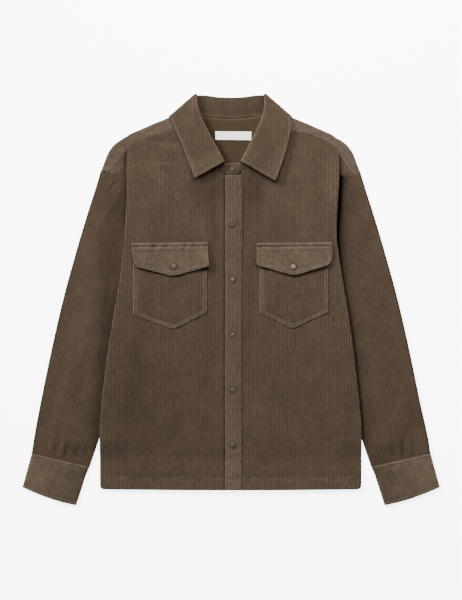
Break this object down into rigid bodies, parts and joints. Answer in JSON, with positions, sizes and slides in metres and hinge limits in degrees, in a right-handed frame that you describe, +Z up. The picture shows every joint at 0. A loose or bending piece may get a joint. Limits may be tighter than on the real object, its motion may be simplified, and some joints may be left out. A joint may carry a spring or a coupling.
{
  "type": "overshirt",
  "caption": "Corduroy overshirt laid flat, face up and snapped shut, with a pointed collar, flapped chest pockets and long cuffed sleeves at its sides.",
  "frame": {"origin": "middle of the laid garment's outline, on the surface that it lies on", "axes": "+Z up, away from the surface that it lies on; +Y from the hem to the collar; +X to the wearer's left"},
  "size_m": [0.7868, 0.7773, 0.013],
  "materials": {
    "corduroy": "wide-wale cotton corduroy, dark brown",
    "snap_metal": "antique nickel plating",
    "label_tape": "plain white woven tape"
  },
  "bodies": {
    "root": {"back": "corduroy", "yoke": "corduroy", "front_right": "corduroy", "front_left": "corduroy", "front_band": "corduroy", "sleeve_right": "corduroy", "sleeve_left": "corduroy", "cuff_right": "corduroy", "cuff_left": "corduroy", "collar_stand": "corduroy", "collar": "corduroy", "pocket_right": "corduroy", "pocket_left": "corduroy", "flap_right": "corduroy", "flap_left": "corduroy", "snap_1": "snap_metal", "snap_2": "snap_metal", "snap_3": "snap_metal", "snap_4": "snap_metal", "snap_5": "snap_metal", "snap_6": "snap_metal", "snap_flap_right": "snap_metal", "snap_flap_left": "snap_metal", "neck_label": "label_tape"}
  },
  "joints": []
}
